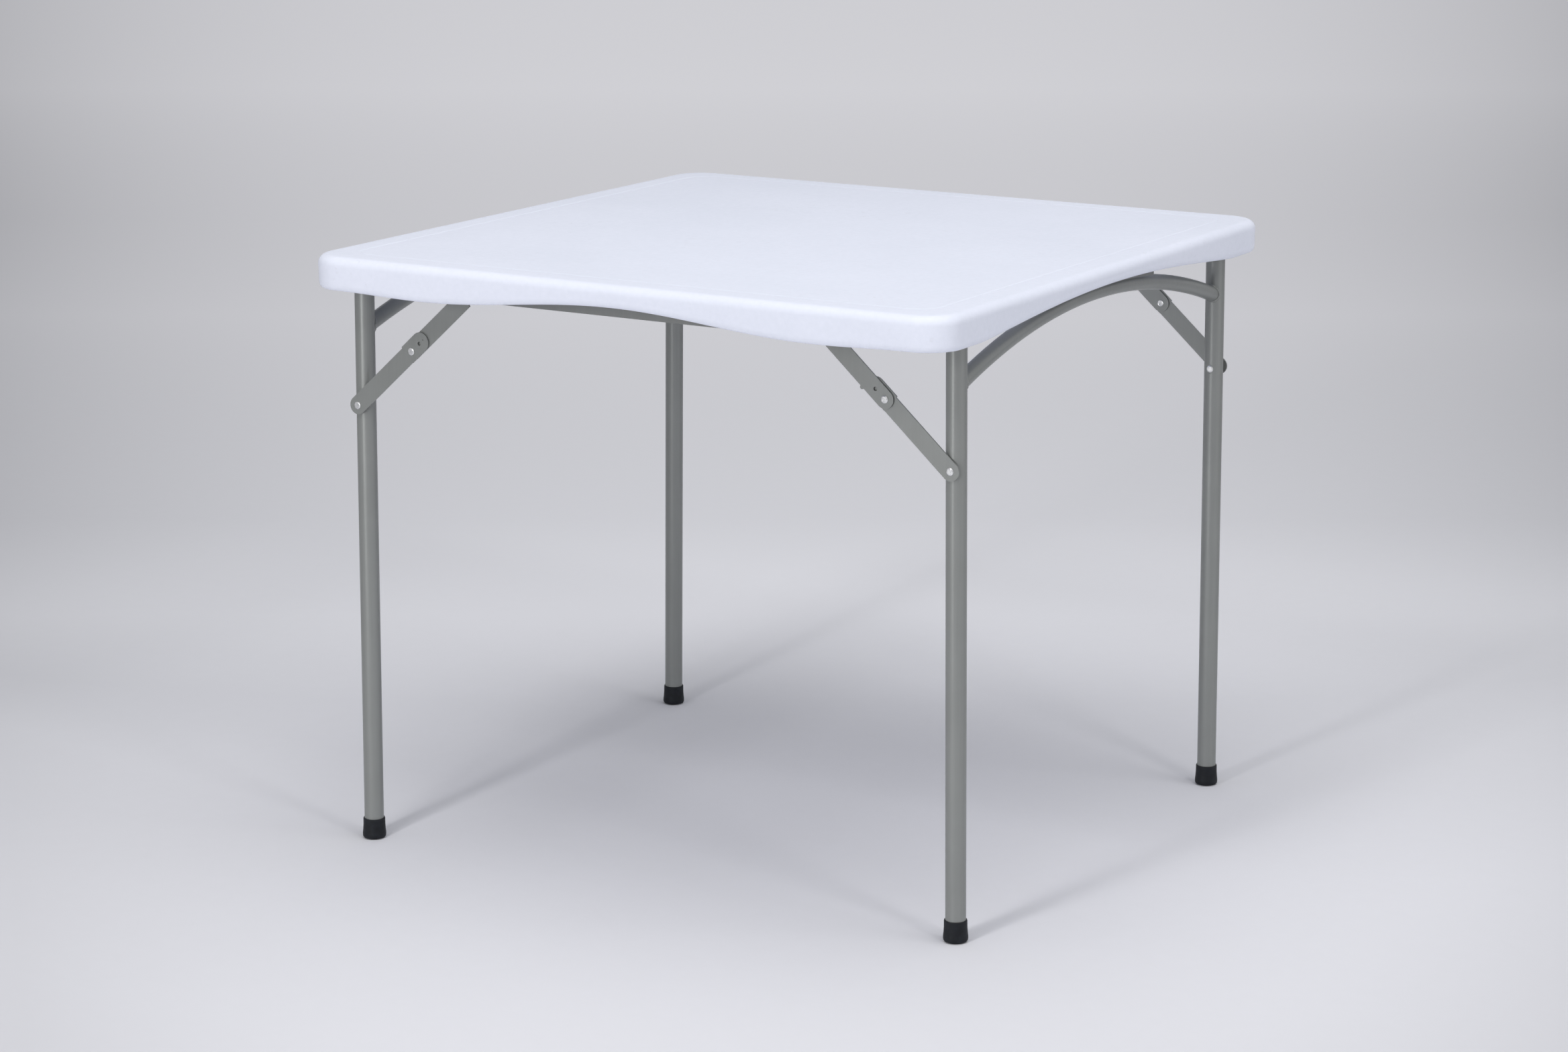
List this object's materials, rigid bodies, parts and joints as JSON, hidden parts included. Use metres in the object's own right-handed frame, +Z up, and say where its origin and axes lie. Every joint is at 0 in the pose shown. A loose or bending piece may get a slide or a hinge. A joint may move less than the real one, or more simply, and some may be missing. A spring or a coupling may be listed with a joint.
{
  "type": "folding table",
  "caption": "Square white plastic folding table on grey tube leg frames with arched cross tubes and folding braces, standing open.",
  "frame": {"origin": "on the floor under the centre of the top", "axes": "+X along the front edge, the frames fold about lines along Y; +Y to the back; +Z up"},
  "size_m": [0.866, 0.866, 0.74],
  "materials": {
    "white_plastic": "fine pebble grain, cool white",
    "frame_paint": "grey hammered powder coat, satin",
    "grey_sheet": "grey powder coat on sheet steel, satin",
    "zinc": "bright zinc plate",
    "dark_plastic": "black moulded plastic",
    "white_nylon": "natural nylon",
    "foot_rubber": "near black, satin"
  },
  "bodies": {
    "top_frame": {"tabletop": "white_plastic", "side_rail_front": "grey_sheet", "side_rail_back": "grey_sheet", "end_stiffener_left": "grey_sheet", "end_stiffener_right": "grey_sheet", "pivot_bracket_front": "zinc", "pivot_bracket_back": "zinc", "leg_clip_front": "dark_plastic", "leg_clip_back": "dark_plastic", "rail_screws": "zinc", "stiffener_screws": "zinc", "bracket_screws": "zinc", "clip_screws": "zinc", "pivot_bolts": "zinc", "pivot_nuts": "zinc", "pivot_sleeves": "white_nylon", "anchor_studs": "zinc"},
    "left_frame": {"leg_front_left": "frame_paint", "leg_back_left": "frame_paint", "arch_left": "frame_paint", "leg_plugs_left": "dark_plastic", "foot_front_left": "foot_rubber", "foot_back_left": "foot_rubber", "leg_rivets_left": "zinc"},
    "right_frame": {"leg_front_right": "frame_paint", "leg_back_right": "frame_paint", "arch_right": "frame_paint", "leg_plugs_right": "dark_plastic", "foot_front_right": "foot_rubber", "foot_back_right": "foot_rubber", "leg_rivets_right": "zinc"},
    "lower_brace_front_left": {"lower_link_front_left": "frame_paint", "mid_head_front_left": "zinc"},
    "upper_brace_front_left": {"upper_link_front_left": "frame_paint", "mid_tail_front_left": "zinc"},
    "lower_brace_back_left": {"lower_link_back_left": "frame_paint", "mid_tail_back_left": "zinc"},
    "upper_brace_back_left": {"upper_link_back_left": "frame_paint", "mid_head_back_left": "zinc"},
    "lower_brace_front_right": {"lower_link_front_right": "frame_paint", "mid_tail_front_right": "zinc"},
    "upper_brace_front_right": {"upper_link_front_right": "frame_paint", "mid_head_front_right": "zinc"},
    "lower_brace_back_right": {"lower_link_back_right": "frame_paint", "mid_head_back_right": "zinc"},
    "upper_brace_back_right": {"upper_link_back_right": "frame_paint", "mid_tail_back_right": "zinc"}
  },
  "joints": [
    {"name": "left_frame_fold", "type": "hinge", "parent": "top_frame", "child": "left_frame", "pos_m": [-0.393, -0.018, 0.711], "axis": [0, -1, 0], "range_deg": [0, 90.6]},
    {"name": "right_frame_fold", "type": "hinge", "parent": "top_frame", "child": "right_frame", "pos_m": [0.393, 0.018, 0.711], "axis": [0, 1, 0], "range_deg": [0, 90.6]},
    {"name": "front_left_lower_brace_turn", "type": "hinge", "parent": "left_frame", "child": "lower_brace_front_left", "pos_m": [-0.39466, -0.3826, 0.5525], "axis": [0, -1, 0], "range_deg": [0, 53.5]},
    {"name": "front_left_upper_brace_turn", "type": "hinge", "parent": "top_frame", "child": "upper_brace_front_left", "pos_m": [-0.21799, -0.3803, 0.711], "axis": [0, -1, 0], "range_deg": [-36.68, 0]},
    {"name": "back_left_lower_brace_turn", "type": "hinge", "parent": "left_frame", "child": "lower_brace_back_left", "pos_m": [-0.39466, 0.3443, 0.5525], "axis": [0, -1, 0], "range_deg": [0, 53.5]},
    {"name": "back_left_upper_brace_turn", "type": "hinge", "parent": "top_frame", "child": "upper_brace_back_left", "pos_m": [-0.21799, 0.3466, 0.711], "axis": [0, -1, 0], "range_deg": [-36.68, 0]},
    {"name": "front_right_lower_brace_turn", "type": "hinge", "parent": "right_frame", "child": "lower_brace_front_right", "pos_m": [0.39466, -0.3443, 0.5525], "axis": [0, 1, 0], "range_deg": [0, 53.5]},
    {"name": "front_right_upper_brace_turn", "type": "hinge", "parent": "top_frame", "child": "upper_brace_front_right", "pos_m": [0.21799, -0.3466, 0.711], "axis": [0, 1, 0], "range_deg": [-36.68, 0]},
    {"name": "back_right_lower_brace_turn", "type": "hinge", "parent": "right_frame", "child": "lower_brace_back_right", "pos_m": [0.39466, 0.3826, 0.5525], "axis": [0, 1, 0], "range_deg": [0, 53.5]},
    {"name": "back_right_upper_brace_turn", "type": "hinge", "parent": "top_frame", "child": "upper_brace_back_right", "pos_m": [0.21799, 0.3803, 0.711], "axis": [0, 1, 0], "range_deg": [-36.68, 0]}
  ],
  "couplings": [
    {"joint": "front_left_lower_brace_turn", "follows": "left_frame_fold", "ratio": 0.59053},
    {"joint": "front_left_upper_brace_turn", "follows": "left_frame_fold", "ratio": -0.40485},
    {"joint": "back_left_lower_brace_turn", "follows": "left_frame_fold", "ratio": 0.59053},
    {"joint": "back_left_upper_brace_turn", "follows": "left_frame_fold", "ratio": -0.40485},
    {"joint": "front_right_lower_brace_turn", "follows": "right_frame_fold", "ratio": 0.59053},
    {"joint": "front_right_upper_brace_turn", "follows": "right_frame_fold", "ratio": -0.40485},
    {"joint": "back_right_lower_brace_turn", "follows": "right_frame_fold", "ratio": 0.59053},
    {"joint": "back_right_upper_brace_turn", "follows": "right_frame_fold", "ratio": -0.40485}
  ]
}
